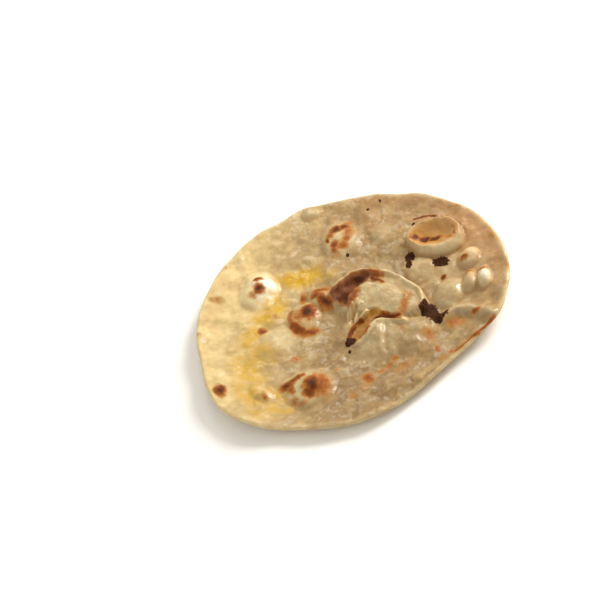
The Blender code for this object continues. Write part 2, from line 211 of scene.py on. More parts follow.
# Seeds of the noises and of the small bubbles, and the step from a bend along x to one along y
SEED = 41
FORM_SEED, MARK_SEED, BEND_SEED_STEP = 71, 91, 5
CHAR_SEED, WALL_SEED, SHADE_SEED, UNDERSIDE_SEED = 61, 63, 64, 65

# Browned places: centre, radii, turn, how brown
TOASTED = (
    ((-42.5, 41.9), (2.6, 1.7), 0.0, 0.84),
    ((-44.2, 34.6), (3.0, 3.6), 0.0, 0.94),
    ((-47.8, 32.0), (3.2, 2.8), 0.0, 0.42),
    ((67.2, 0.4), (2.0, 2.3), 0.0, 0.70),
    ((68.6, 1.0), (4.4, 3.6), 0.0, 0.22),
    ((73.6, -14.0), (2.6, 2.3), -10.0, 0.68),
    ((66.4, -9.4), (3.0, 1.5), -20.0, 0.56),
    ((-22.6, 7.2), (4.4, 5.2), 0.0, 1.04),
    ((-26.6, 5.6), (5.4, 6.6), 15.0, 0.52),
    ((-22.3, 20.0), (1.8, 4.0), -15.0, 0.66),
    ((-11.9, 19.6), (5.6, 3.2), -10.0, 0.74),
    ((-14.8, 16.8), (3.4, 3.0), 0.0, 0.70),
    ((-12.1, 10.4), (2.8, 5.0), 10.0, 1.00),
    ((-9.8, 7.2), (1.8, 3.6), 0.0, 0.66),
    ((-14.6, 7.2), (1.8, 2.6), 0.0, 0.54),
    ((8.6, 60.4), (3.6, 2.4), 10.0, 1.00),
    ((13.6, 60.8), (2.8, 1.8), 10.0, 0.96),
    ((4.2, 57.6), (3.4, 2.6), 30.0, 0.62),
    ((1.9, 54.6), (1.4, 2.0), 0.0, 0.90),
    ((17.4, 63.6), (3.4, 1.8), 20.0, 0.50),
    ((5.0, 49.4), (2.6, 2.8), 0.0, 0.82),
    ((3.6, 45.6), (2.6, 3.4), 0.0, 0.56),
    ((4.2, 42.6), (3.4, 2.6), 0.0, 0.36),
    ((-33.6, -45.6), (4.2, 5.0), 0.0, 1.04),
    ((-36.3, -50.0), (3.2, 3.4), 15.0, 0.90),
    ((-29.4, -47.4), (5.4, 8.6), -10.0, 0.64),
    ((-46.0, -39.6), (4.4, 2.8), 10.0, 0.84),
    ((-45.2, -43.6), (2.2, 3.0), 0.0, 0.66),
    ((-44.4, -51.0), (3.0, 2.6), -10.0, 0.44),
    ((-41.6, -54.6), (3.8, 2.4), -10.0, 0.42),
    ((-58.9, -43.0), (1.6, 3.2), 15.0, 0.52),
    ((-68.6, 36.9), (4.4, 2.3), -12.0, 0.44),
    ((-49.8, 5.2), (2.3, 2.7), 0.0, 0.82),
    ((-80.6, -30.0), (2.7, 3.7), 10.0, 0.96),
    ((-37.5, -22.0), (5.6, 1.9), -8.0, 0.46),
    ((-4.8, -52.0), (3.2, 3.4), 0.0, 0.78),
    ((-8.4, -58.1), (5.2, 2.7), 25.0, 0.34),
    ((-15.7, -60.8), (2.5, 3.4), 0.0, 0.38),
    ((-18.8, -39.1), (1.8, 1.5), 0.0, 0.34),
    ((15.3, -52.3), (8.6, 3.4), 5.0, 0.34),
    ((34.3, -50.6), (1.8, 2.4), 0.0, 0.76),
    ((39.9, -56.3), (2.0, 1.6), 20.0, 0.56),
    ((35.3, -58.2), (2.0, 1.5), 20.0, 0.50),
    ((60.7, -37.9), (2.6, 1.7), -10.0, 0.66),
    ((48.5, -36.8), (5.0, 3.4), -30.0, 0.56),
    ((76.1, 41.4), (5.4, 1.6), -30.0, 0.36),
    ((72.5, 36.7), (3.6, 1.9), -20.0, 0.40),
    ((47.6, 29.2), (2.8, 2.2), -25.0, 0.92),
    ((52.4, 25.8), (3.0, 1.9), -20.0, 1.00),
    ((57.4, 23.2), (3.6, 1.7), -25.0, 0.98),
    ((63.4, 19.6), (5.4, 1.8), -35.0, 0.50),
    ((86.0, 8.0), (2.4, 8.0), 0.0, 0.34),
    ((86.4, -18.5), (2.0, 5.0), -10.0, 0.40),
    ((-60.5, 59.5), (3.2, 2.0), 45.0, 0.34),
    ((-83.3, 13.9), (1.5, 3.2), 0.0, 0.36),
    ((-40.2, 13.3), (1.8, 1.8), 0.0, 0.42),
    ((-18.7, 46.1), (2.4, 2.0), 0.0, 0.28),
    ((22.0, -29.6), (3.4, 4.8), 0.0, 0.30),
    ((53.5, -3.2), (1.3, 1.2), 25.0, 0.96),
    ((33.5, -38.5), (3.8, 5.8), 0.0, 0.40),
    ((18.4, 14.4), (4.2, 4.2), -20.0, 0.60),
    ((4.6, 3.6), (3.0, 5.0), -15.0, 0.78),
    ((1.0, 0.6), (2.4, 3.6), 0.0, 0.74),
    ((0.4, -3.4), (1.5, 2.6), 0.0, 0.42),
    ((-27.4, -8.4), (4.4, 2.0), -15.0, 0.46),
    ((0.0, 82.4), (5.6, 1.4), -4.0, 0.36),
)
# Browned lines, some of them painted shadow by the torn blister's flap, split and strands: path, half width,
# how brown
TOAST_AND_SHADOW_LINES = (
    (((15.8, 59.6), (14.6, 53.6), (12.2, 49.6), (8.0, 46.8)), 3.2, 0.54),
    (((17.4, 58.0), (19.6, 59.2), (21.2, 57.6), (20.4, 55.6), (18.2, 56.2)), 0.8, 0.34),
    (((52.4, 46.0), (57.0, 45.6), (62.0, 42.9), (66.6, 38.6)), 0.8, 0.94),
    (((68.9, 23.6), (69.4, 20.6), (68.7, 17.9)), 0.7, 0.56),
    (((-31.0, 12.4), (-33.0, 7.0), (-32.8, 1.4)), 1.9, 0.60),
    (((-32.8, 2.4), (-31.4, -2.4), (-27.8, -5.8), (-22.6, -6.8)), 2.7, 0.74),
    (((-36.8, -37.4), (-39.5, -37.0), (-43.0, -38.4)), 1.9, 0.72),
    (((-4.4, -25.4), (-1.6, -25.2), (1.6, -23.9), (4.6, -22.2)), 1.5, 0.66),
    # painted shadow along the split's upper left edge
    (((3.0, -14.6), (-0.9, -15.2), (-3.6, -17.0), (-5.3, -20.0), (-6.5, -22.6)), 1.3, 0.90),
    (((30.8, -8.6), (29.8, -13.0), (26.8, -16.8), (23.4, -19.8)), 2.9, 0.44),
    # painted shadow under the flap's lower edge
    (((12.0, -14.6), (14.6, -16.2), (18.4, -18.0), (22.0, -20.6)), 1.4, 0.84),
    # painted shadow in the hollow above the flap's top edge
    (((16.4, 11.6), (18.6, 8.6), (21.2, 4.4)), 1.2, 0.80),
    (((8.4, 16.8), (14.0, 15.8), (19.0, 12.8), (22.4, 9.4)), 1.7, 0.62),
    # painted shade in the gaps between the strands, here and in the next line
    (STRAND_GAPS[0], 1.2, 0.34),
    (STRAND_GAPS[1], 1.2, 0.36),
    (((2.6, -50.4), (7.6, -48.4), (12.6, -45.4)), 1.8, 0.44),
    (((68.0, -48.6), (60.0, -51.4), (50.0, -54.4), (42.0, -57.4)), 1.0, 0.66),
)
# Charred places: centre, radii, turn
CHARRED = (
    ((41.4, 21.0), (2.6, 3.2), -10.0),
    ((39.0, 16.0), (1.7, 4.2), -14.0),
    ((55.2, 7.4), (4.5, 3.0), -22.0),
    ((-6.6, -24.9), (2.9, 2.8), 30.0),
    ((9.5, 39.9), (0.9, 1.2), 0.0),
    ((38.8, 69.8), (0.7, 0.9), 0.0),
    ((30.4, 67.3), (0.8, 0.7), 0.0),
    ((-9.0, -30.3), (0.7, 0.8), 0.0),
    ((50.6, 42.0), (1.0, 1.2), 0.0),
)
# Ragged edges of the char, how far it reaches in its own radii, and over how much it fades
CHAR_RAGS = ((1.6, 0.30), (3.4, 0.20))
CHAR_REACH, CHAR_FADE = 1.15, 0.3
# Charred foot of the torn blister, and the dark inside of its back wall
CHARRED_FOOT = (
    (34.3, -22.6), (36.8, -19.6), (39.4, -17.4), (42.2, -19.2), (42.2, -23.6), (43.4, -27.6), (47.6, -29.0),
    (44.6, -30.8), (41.2, -34.0), (39.4, -31.6), (37.4, -29.4), (35.2, -26.2),
)
DARK_WALL = (
    (-8.4, 8.6), (-5.4, 13.6), (1.2, 17.4), (8.0, 18.6), (13.8, 17.6), (18.0, 14.6), (14.6, 12.2),
    (9.6, 11.0), (6.4, 8.4), (4.0, 3.6), (-0.4, -1.4), (-5.2, 2.6),
)
# Their edges: how ragged, how far they reach and over how many millimetres they fade
FOOT_RAGGED, FOOT_REACH, FOOT_FADE = 3.0, 1.0, 1.6
WALL_RAGS, WALL_REACH, WALL_FADE = ((3.4, 0.9),), 0.8, 3.0

# Butter: centre, radii, turn, how yellow
BUTTERED = (
    ((-20.0, 35.4), (15.0, 7.2), -12.0, 1.25),
    ((-9.0, 31.0), (9.0, 4.8), -10.0, 0.60),
    ((-38.0, 21.0), (6.6, 12.0), 5.0, 1.00),
    ((-46.0, 14.4), (9.0, 6.0), 10.0, 1.00),
    ((-56.0, 4.0), (6.0, 12.0), -35.0, 0.85),
    ((-54.0, -12.0), (8.0, 9.0), 20.0, 0.78),
    ((-63.0, -20.0), (9.0, 14.0), 10.0, 0.84),
    ((-66.0, -36.0), (8.0, 14.0), 15.0, 0.78),
    ((-60.0, -52.0), (9.0, 6.0), -10.0, 0.75),
    ((-53.0, -42.0), (2.6, 10.0), 25.0, 0.80),
    ((-50.0, -54.0), (5.0, 4.0), 0.0, 0.60),
)

# Blisters whiter or duller than the rest; the whitest two are painted highlights on their lit sides: centre,
# radii, turn, how white
WHITENED = (
    ((-44.4, 35.6), (12.8, 16.0), -10.0, 0.42),
    ((-40.6, 33.6), (9.6, 14.0), -10.0, 1.00),
    ((73.0, -19.4), (6.0, 9.0), -14.0, 0.90),
    ((52.6, -16.4), (10.4, 11.6), -25.0, 0.30),
    ((64.4, -15.4), (4.8, 9.4), -14.0, 0.34),
    ((-60.4, -39.4), (5.0, 8.6), 25.0, 0.30),
    ((-27.4, 25.6), (8.6, 8.8), 0.0, 0.30),
)
# Paler places: painted light on the swell in front of the split, a painted highlight on the pleat there, and
# lighter dough between the right-hand blisters: centre, radii, turn, how pale
LIGHTENED = (
    ((5.0, -32.6), (13.0, 8.0), 0.0, 0.50),
    ((10.8, -25.0), (2.4, 7.0), -6.0, 0.58),
    ((61.0, -7.0), (14.0, 17.0), 0.0, 0.36),
)

# Uneven edges of the marks: size of a bend and how far it bends
RAGS = ((5.0, 0.9), (2.2, 0.4))
# How far a browned place fades out, in its own sizes
SOFT_REACH = 1.9

# Painted shade: the dough is painted darker from the left towards the middle, along one direction, and at
# the front
SHADE_DIRECTION = -20.0
SHADE_FROM, SHADE_TO, SHADE_MOST = -80.0, 0.0, 0.90
SHADE_RAGS = ((30.0, 6.0),)
FRONT_SHADE = ((-8.0, -48.0), (34.0, 20.0), -10.0, 0.35)
# Tan places, partly the dough's baked tan and partly painted shade: centre, radii, turn, how tan
TAN_AND_SHADE = (((86.0, 24.0), (32.0, 56.0), 10.0, 0.95), ((44.0, 64.0), (40.0, 24.0), -20.0, 0.45))
# How squarely soft places fade out: butter, whitened blisters and the rest
BUTTER_POWER, WHITENED_POWER, SOFT_POWER = 3, 4, 2

# How pale forms are, and the height or share of the way to the rim at which that counts
BLISTER_PALE, BLISTER_PALE_AT, WHITENED_AT = 0.64, 3.4, 1.4
FLAP_PALE = 0.40
SKIN_PALE, SKIN_PALE_AT = 0.24, 7.0
# painted highlight along the rim: how pale, and the share of the way out where it starts
RIM_PALE, RIM_SHARE = 0.55, 0.955
# Edges of forms painted paler, with painted highlights along the crest and the ridge: path, how pale, width
PALE_EDGES = (
    (CREST, 0.66, 1.9),
    (LIP, 0.80, 2.2),
    (RIDGE, 0.26, 2.8),
    *((strand, 0.80, 1.2) for strand in STRANDS),
)
# How much less pale the sunken blister's ring is: in its middle, for each step across, and at most
RING_LOSS, RING_LOSS_ACROSS, RING_LOSS_MOST = 0.35, 0.9, 0.8
# Golden floor inside the ring: its reach and fade in ring radii, its strength, and more of it leftwards
SUNKEN_REACH, SUNKEN_FADE = 1.10, 0.34
SUNKEN_STRENGTH, SUNKEN_LEFTWARDS = 0.84, 0.40
# Golden inside of the split and the slit: how far it reaches past them
GOLD_REACH = 2.6
# Upper end of the split, where light comes through the thin skin: path and width
GLOW, GLOW_WIDTH = ((7.4, -12.4), (10.4, -12.4), (12.4, -12.8)), 1.9
# Painted shade in the creases round the blisters: how far from a point they are looked for, in what steps,
# and a full one's depth
CREASE_REACH, CREASE_TURN, CREASE_DEPTH = 2.8, 45, 1.1
# Underside: size of its browned places, where they start, their limit and strength; then its tan places
UNDER_TOAST_SIZE, UNDER_TOAST_FROM, UNDER_TOAST_LIMIT, UNDER_TOAST_STRENGTH = 17.0, 0.30, 0.5, 1.7
UNDER_TAN_SIZE, UNDER_TAN_MIDDLE, UNDER_TAN_SWING = 26.0, 0.35, 0.5

# Photo frame: where the plan's own zero falls, in pixels, and the camera that looks at it
PHOTO_PIXELS = 600.0
ZERO_AT_PIXEL = (352.0, 312.4)
CAMERA_ELEVATION = 45.0
CAMERA_ROLL = 20.0
LENS = 85.0
SENSOR = 36.0
MM_PER_PIXEL = 0.56

# Colours of the dough, of painted shade and highlight, of openings and butter, and of marks
CREAM = (0.596, 0.448, 0.212)
# cream darkened by painted shade, towards the middle and the front
SHADED_CREAM = (0.230, 0.140, 0.056)
TAN = (0.445, 0.245, 0.110)
PALE = (0.700, 0.545, 0.270)
WHITISH = (0.740, 0.630, 0.370)
# white of the painted highlights on the blisters
HIGHLIGHT_WHITE = (0.740, 0.790, 0.750)
GREYISH = (0.340, 0.235, 0.112)
GOLDEN = (0.300, 0.145, 0.030)
LIT_GOLD = (0.640, 0.350, 0.080)
SUNKEN_GOLD = (0.400, 0.185, 0.036)
BUTTER = (0.520, 0.300, 0.010)
CHAR = (0.022, 0.007, 0.002)
CHAR_LIGHT = (0.095, 0.030, 0.007)
CHAR_EDGE = (0.110, 0.030, 0.008)
WALL = (0.080, 0.022, 0.007)
WALL_LIGHT = (0.170, 0.058, 0.022)
WALL_EDGE = (0.300, 0.100, 0.026)
# Browning, whose colours also paint the shadows by the flap, the split and the strands: how far it has gone
# and its colour
TOAST_AND_SHADOW_RAMP = (
    (0.00, (0.47, 0.33, 0.115)),
    (0.24, (0.385, 0.195, 0.046)),
    (0.48, (0.35, 0.120, 0.020)),
    (0.72, (0.205, 0.056, 0.010)),
    (1.00, (0.066, 0.016, 0.004)),
)
# Soft blotches of the dough: where, grain, grain's value at none and at full strength, strength, colour
BLOTCHES = (
    ("bare", "patch", 0.46, 0.66, 0.32, GREYISH),
    ("light", "patch", 0.52, 0.32, 0.42, PALE),
    ("light", "small", 0.48, 0.68, 0.26, PALE),
    ("all", "fine", 0.50, 0.34, 0.09, TAN),
)
# Openings: mask, strength, colour
OPENINGS = (("sunken", 0.95, SUNKEN_GOLD), ("gold", 0.92, GOLDEN), ("glow", 0.90, LIT_GOLD))

# Grains of the material: size in millimetres, detail, roughness, distortion
GRAINS = {
    "broad": (24.0, 2.0, 0.55, 0.0),
    "patch": (9.0, 2.0, 0.5, 0.15),
    "middle": (6.0, 3.0, 0.5, 0.1),
    "small": (3.4, 2.0, 0.5, 0.0),
    "fine": (1.2, 2.0, 0.5, 0.0),
    "speck": (0.6, 2.0, 0.5, 0.0),
}
# Marks with broken edges: the grains that break them and how much, and the mask's value at full strength
BROKEN = {
    "toast_and_shadow": ((("small", 0.50), ("fine", 0.20)), 0.20),
    "wall": ((("small", 0.4),), 0.1),
    "char": ((("fine", 0.6),), 0.1),
}
DOUGH_SHADER = {
    "Coat Roughness": 0.21,
    "Specular IOR Level": 0.08,
    "Subsurface Weight": 0.30,
    "Subsurface Radius": (1.0, 0.55, 0.22),
    "Subsurface Scale": 0.0022,
}
# Steps of the dough's colour: values of a mask or grain, then what they become where that isn't 0 and 1
TAN_MOTTLE = (0.44, 0.62, -0.08, 0.20)
BLOTCH_ON_TAN = (0.10, 0.80, 1.0, 0.35)
# how much the blotches weaken under the painted shade
BLOTCH_ON_SHADE = (0.20, 0.90, 1.0, 0.50)
PALE_MOTTLE = (0.36, 0.64, 0.95, 0.62)
# where the pale mask turns to the painted highlight's white
HIGHLIGHT_WHITE_STEPS = (0.80, 1.00)
BUTTER_MOTTLE = (0.34, 0.60, 0.60, 1.0)
# strength of the painted shade in the creases, and of the butter
CREASE_SHADE_STRENGTH, BUTTER_STRENGTH = 0.50, 0.92
# Steps of the marks: each one's fringe, its core, and the lighter flecks in that
TOAST_FRINGE = (0.02, 0.56)
WALL_FRINGE, WALL_CORE, WALL_FLECKS = (0.04, 0.50, 0.0, 0.9), (0.36, 0.95), (0.40, 0.60)
CHAR_FRINGE, CHAR_CORE, CHAR_FLECKS = (0.04, 0.34), (0.30, 0.66), (0.45, 0.68)
# Steps of the shine: roughness, oil, and less oil on cream, on pale dough and on browning
ROUGHNESS, CHAR_ROUGHNESS = (0.34, 0.64, 0.36, 0.56), 0.25
OIL, BUTTER_OIL = (0.38, 0.60, 0.75, 0.15), 0.20
OIL_ON_CREAM, OIL_ON_PALE = (0.12, 0.60, 0.42, 1.0), (0.30, 0.66, 1.0, 0.40)
DRY_TOAST = (0.30, 0.80, 0.0, 0.7)
# Bump: its strength, its depth in millimetres, and the shares of fine grain and crumbs
BUMP_STRENGTH, BUMP_DEPTH, FINE_BUMP, CRUMB_BUMP = 0.6, 0.4, 0.35, 1.4
# Sockets of a Mix node that mixes colours
MIX_A, MIX_B, MIX_RESULT = 6, 7, 2

# Floor: half its width in metres, how far it lies under the bread, its colour and roughness
FLOOR_HALF = 2.0
FLOOR_GAP = 0.0001
FLOOR_COLOUR = (0.90, 0.90, 0.90, 1.0)
FLOOR_ROUGHNESS = 0.9
# Lights: name, place and size in metres, power, colour
LIGHTS = (
    ("key", (0.86, 0.46, 0.66), 0.60, 17.0, (1.0, 0.98, 0.94)),
    ("fill", (-0.60, -0.55, 0.80), 0.9, 2.0, (1.0, 0.99, 0.97)),
    ("sheen", (0.10, 0.82, 0.78), 0.36, 1.6, (1.0, 0.98, 0.94)),
)
SURROUND_COLOUR = (1.0, 0.94, 0.82, 1.0)
SURROUND_STRENGTH = 0.66


def held(values):
    """Values held between 0 and 1."""
    return np.clip(values, 0.0, 1.0)


def in_direction(x, y, degrees):
    """Distance of a point from the middle, measured in one direction."""
    angle = np.radians(degrees)
    return x * np.cos(angle) + y * np.sin(angle)


def outline_radius(angle):
    """Distance from the middle to the rim, at an angle in radians."""
    radius = np.full_like(angle, RIM_RADIUS)
    for direction, half_width, amount in RIM_DEVIATIONS:
        away = (np.degrees(angle) - direction + 180.0) % 360.0 - 180.0
        inside = np.abs(away) < half_width
        radius += np.where(inside, amount * np.cos(np.pi / 2 * away / half_width) ** 2, 0.0)
    return radius


def sheet_height(x, y):
    """Height of the underside: flat in the middle, lifted towards the rim."""
    height = np.zeros_like(x)
    for direction, start, run, rise in LIFTS:
        past = np.maximum(0.0, in_direction(x, y, direction) - start)
        height += rise * (past / run) ** 2
    return height


def wave_height(x, y):
    """Long shallow waves left by rolling."""
    height = np.zeros_like(x)
    for direction, wavelength, phase, amplitude in WAVES:
        turns = in_direction(x, y, direction) / wavelength + phase / 360.0
        height += amplitude * np.sin(2.0 * np.pi * turns)
    return height


def ellipse_place(x, y, centre, radii, turn):
    """Coordinates along and across an ellipse, each 1 at its edge."""
    dx = x - centre[0]
    dy = y - centre[1]
    return in_direction(dx, dy, turn) / radii[0], in_direction(dx, dy, turn + 90.0) / radii[1]


def ellipse_distance(x, y, centre, radii, turn):
    """Distance from an ellipse's centre, 1 at its edge."""
    return np.hypot(*ellipse_place(x, y, centre, radii, turn))


def pillow(x, y, centre, radii, turn, height, squareness):
    """A closed blister: full on top, with sides that get steeper as squareness rises."""
    distance = ellipse_distance(x, y, centre, radii, turn)
    return height * np.maximum(0.0, 1.0 - distance ** squareness) ** PILLOW_POWER


def path_place(x, y, path):
    """Distance to a path, and the place of the nearest point counted in path points."""
    nearest = np.full_like(x, np.inf)
    place = np.zeros_like(x)
    for index, (start, end) in enumerate(zip(path, path[1:])):
        step = (end[0] - start[0], end[1] - start[1])
        share = ((x - start[0]) * step[0] + (y - start[1]) * step[1]) / (step[0] ** 2 + step[1] ** 2)
        share = held(share)
        distance = np.hypot(x - start[0] - share * step[0], y - start[1] - share * step[1])
        closer = distance < nearest
        nearest = np.where(closer, distance, nearest)
        place = np.where(closer, index + share, place)
    return nearest, place


def bead(x, y, path, height, width):
    """A rounded ridge along a path, or a furrow where the height is negative."""
    distance, _ = path_place(x, y, path)
    return height * np.exp(-(distance / width) ** 2)


def sunken_place(x, y):
    """Distance from the sunken blister's centre, place across it, and where the ring's crest lies."""
    along, across = ellipse_place(x, y, SUNKEN_CENTRE, SUNKEN_RADII, SUNKEN_TURN)
    dx = x - SUNKEN_CENTRE[0]
    dy = y - SUNKEN_CENTRE[1]
    towards = in_direction(dx, dy, SUNKEN_ROLL_DIRECTION) / np.maximum(np.hypot(dx, dy), TINY)
    ring_at = SUNKEN_RING_AT - SUNKEN_ROLL * held(towards)
    return np.hypot(along, across), across, ring_at


def sunken_height(x, y):
    """The ring left round the blister whose top has sunk in."""
    distance, across, ring_at = sunken_place(x, y)
    outside = held((1.0 - distance) / (1.0 - ring_at))
    wall = SUNKEN_RING_HEIGHT * np.sin(np.pi / 2 * outside) ** SUNKEN_WALL_POWER
    inside = held(distance / ring_at)
    rise = 0.5 - 0.5 * np.cos(np.pi * inside ** SUNKEN_INNER_POWER)
    floor = SUNKEN_FLOOR + SUNKEN_FLOOR_RISE * across
    return np.where(distance < ring_at, floor + (wall - floor) * rise, wall)


def smooth_step(share):
    """A share from 0 to 1 that starts and ends gently."""
    return share * share * (3.0 - 2.0 * share)


def smoother_step(share):
    """The same, with still gentler ends."""
    return share * share * share * (share * (share * 6.0 - 15.0) + 10.0)


def smooth_closed(points):
    """A smooth closed curve through points, as short straight steps."""
    here = np.array(points)
    before, after, later = np.roll(here, 1, 0), np.roll(here, -1, 0), np.roll(here, -2, 0)
    curve = []
    for t in np.arange(CURVE_STEPS) / CURVE_STEPS:
        line = (after - before) * t
        bend = (2.0 * before - 5.0 * here + 4.0 * after - later) * t ** 2
        twist = (3.0 * here - before - 3.0 * after + later) * t ** 3
        curve.append(here + 0.5 * (line + bend + twist))
    return np.stack(curve, 1).reshape(-1, 2)


def inside_distance(x, y, points):
    """How far inside a smooth closed curve each point is, and its nearest place along it, in points."""
    closed = smooth_closed(points)
    closed = np.vstack((closed, closed[:1]))
    distance, place = path_place(x, y, closed)
    inside = np.zeros(x.shape, bool)
    for (ax, ay), (bx, by) in zip(closed, closed[1:]):
        if ay != by:
            inside ^= ((ay > y) != (by > y)) & (x < (bx - ax) * (y - ay) / (by - ay) + ax)
    return np.where(inside, distance, -distance), place / CURVE_STEPS


def tilted(x, y, level, tilt):
    """Height of a plane that rises towards the back right."""
    return level + tilt * in_direction(x - TILT_ZERO[0], y - TILT_ZERO[1], TILT_DIRECTION)


def torn_skin(x, y):
    """How far the torn blister's skin covers each point, and its height before it is opened."""
    inside, place = inside_distance(x, y, TORN_FOOT)
    shoulders = TORN_SHOULDERS + TORN_SHOULDERS[:1]
    width = np.interp(place, range(len(shoulders)), shoulders)
    share = held(inside / width)
    steep = np.sqrt(1.0 - (1.0 - share) ** 2)
    cover = steep + (smooth_step(share) - steep) * np.interp(width, SOFT_SHOULDERS, (0.0, 1.0))
    return cover, cover * np.clip(tilted(x, y, TORN_LEVEL, TORN_TILT), *TORN_HEIGHTS)


def flap_height(x, y):
    """The fallen flap: a tilted sheet with a round edge, zero outside its outline."""
    inside, _ = inside_distance(x, y, FLAP)
    edge = held(inside / FLAP_EDGE_WIDTH)
    return tilted(x, y, FLAP_LEVEL, FLAP_TILT) * np.sqrt(1.0 - (1.0 - edge) ** 2)


def cut_path(height, x, y, path, half_widths, floors, wall_width):
    """Lowers the height to a floor within a path, with smooth walls of a given width."""
    distance, place = path_place(x, y, path)
    half_width = np.interp(place, range(len(path)), half_widths)
    floor = np.interp(place, range(len(path)), floors)
    wall = held((distance - half_width) / wall_width)
    return height + (1.0 - smooth_step(wall)) * np.minimum(0.0, floor - height)


def torn_height(x, y):
    """The torn blister with its hollow, flap, strands, split and the dough in front of it."""
    cover, skin = torn_skin(x, y)
    skin += cover * bead(x, y, CREST, CREST_HEIGHT, CREST_WIDTH)
    skin = cut_path(skin, x, y, HOLLOW, HOLLOW_HALF_WIDTHS, HOLLOW_FLOORS, HOLLOW_WALL)
    height = np.maximum(skin, flap_height(x, y))
    for strand in STRANDS:
        height += cover * bead(x, y, strand, STRAND_HEIGHT, STRAND_WIDTH)
    for gap in STRAND_GAPS:
        height -= cover * bead(x, y, gap, STRAND_GAP_DEPTH, STRAND_GAP_WIDTH)
    swell = ellipse_distance(x, y, *APRON)
    apron = APRON_HEIGHT * np.maximum(0.0, 1.0 - swell ** 2) ** APRON_POWER
    apron += bead(x, y, LIP, LIP_HEIGHT, LIP_WIDTH)
    height = np.maximum(height, apron)
    height = cut_path(height, x, y, SPLIT, SPLIT_HALF_WIDTHS, SPLIT_FLOORS, SPLIT_WALL)
    height = cut_path(height, x, y, SLIT, SLIT_HALF_WIDTHS, SLIT_FLOORS, SPLIT_WALL)
    for path, amount, width in PLEATS:
        height += bead(x, y, path, amount, width)
    return height


def blended(heights):
    """Several heights as one surface, rounded a little where they meet."""
    return sum(np.maximum(height, 0.0) ** BLEND_POWER for height in heights) ** (1.0 / BLEND_POWER)


def closed_height(x, y):
    """The closed blisters and the ring round the sunken one."""
    return blended([pillow(x, y, *blister) for blister in BLISTERS] + [sunken_height(x, y)])


def layered_noise(x, y, layers, seed):
    """Noises of several sizes and strengths together."""
    return sum(amount * noise(x, y, size, seed + index) for index, (size, amount) in enumerate(layers))


def bent_place(x, y, bends, seed):
    """Plan places bent a little by noise, so that what is laid on them gets uneven outlines."""
    return x + layered_noise(x, y, bends, seed), y + layered_noise(x, y, bends, seed + BEND_SEED_STEP)


def relief_height(x, y):
    """Everything that stands on the sheet, with uneven outlines."""
    x, y = bent_place(x, y, BENDS, FORM_SEED)
    return blended((closed_height(x, y), torn_height(x, y), bead(x, y, RIDGE, RIDGE_HEIGHT, RIDGE_WIDTH)))


def noise(x, y, size, seed):
    """Values from about -1 to 1 that change over a size, from random slopes on a turned lattice."""
    draw = np.random.default_rng(seed)
    turn = draw.uniform(0.0, 360.0)
    reach = NOISE_REACH * RIM_RADIUS
    count = int(2.0 * reach / size) + NOISE_SPARE
    slopes = draw.uniform(0.0, 2.0 * np.pi, (count, count))
    u = (in_direction(x, y, turn) + reach) / size
    v = (in_direction(x, y, turn + 90.0) + reach) / size
    i = np.clip(u.astype(int), 0, count - 2)
    j = np.clip(v.astype(int), 0, count - 2)
    s = u - i
    t = v - j
    across, up = smoother_step(s), smoother_step(t)
    total = np.zeros_like(x)
    for a in (0, 1):
        for b in (0, 1):
            slope = slopes[i + a, j + b]
            share = (across if a else 1.0 - across) * (up if b else 1.0 - up)
            total += share * (np.cos(slope) * (s - a) + np.sin(slope) * (t - b))
    return NOISE_STRENGTH * total


def small_bubbles(x, y):
    """Low bubbles of a few millimetres, scattered over the sheet."""
    draw = np.random.default_rng(SEED)
    height = np.zeros_like(x)
    for _ in range(SMALL_BUBBLES):
        angle = draw.uniform(0.0, 2.0 * np.pi)
        far = RIM_RADIUS * SMALL_BUBBLES_OUT * np.sqrt(draw.uniform())
        radius = draw.uniform(*SMALL_BUBBLE_RADII)
        centre = (far * np.cos(angle), far * np.sin(angle))
        radii = (radius, radius * draw.uniform(*SMALL_BUBBLE_LENGTHS))
        turn = draw.uniform(0.0, 180.0)
        near = np.abs(x - centre[0]) + np.abs(y - centre[1]) < SMALL_BUBBLE_REACH * radius
        shape = (centre, radii, turn, radius * SMALL_BUBBLE_SHARE, SMALL_BUBBLE_SQUARENESS)
        height[near] = np.maximum(height[near], pillow(x[near], y[near], *shape))
    return height


def fine_height(x, y):
    """Puckers and small bubbles of the skin."""
    return small_bubbles(x, y) + layered_noise(x, y, PUCKERS, SEED)


def spaced_line(count, focus):
    """Places from -1 to 1 that lie closer together round the focus."""
    fine = np.linspace(-1.0, 1.0, SPACING_SAMPLES)
    density = 1.0 + FOCUS_GAIN * np.exp(-((fine - focus) / FOCUS_WIDTH) ** 2)
    total = np.concatenate(([0.0], np.cumsum((density[1:] + density[:-1]) / 2.0)))
    return np.interp(np.linspace(0.0, total[-1], count + 1), total, fine)


def disc_grid():
    """Plan places of a square grid mapped onto the outline, and each one's share of the way to the rim."""
    across, up = np.meshgrid(
        spaced_line(SQUARES[0], FOCUS[0]), spaced_line(SQUARES[1], FOCUS[1]), indexing="ij"
    )
    unit_x = across * np.sqrt(1.0 - up ** 2 / 2.0)
    unit_y = up * np.sqrt(1.0 - across ** 2 / 2.0)
    share = np.hypot(unit_x, unit_y)
    angle = np.arctan2(unit_y, unit_x)
    radius = share * outline_radius(angle)
    return radius * np.cos(angle), radius * np.sin(angle), np.minimum(share, 1.0)


def face_heights(x, y, share):
    """Heights of the upper and the lower face, which meet at the rim."""
    sheet = sheet_height(x, y)
    lifted = held(sheet / THICKNESS)
    edge = held(1.0 - (1.0 - share) * RIM_RADIUS / EDGE_ROUNDING)
    rounding = np.sqrt(1.0 - edge ** 2)
    middle = sheet + THICKNESS / 2.0 + lifted * wave_height(x, y)
    upper = middle + rounding * (THICKNESS / 2.0 + relief_height(x, y) + fine_height(x, y))
    upper += (1.0 - lifted) * rounding * wave_height(x, y)
    lower = middle - rounding * THICKNESS / 2.0
    return upper, lower


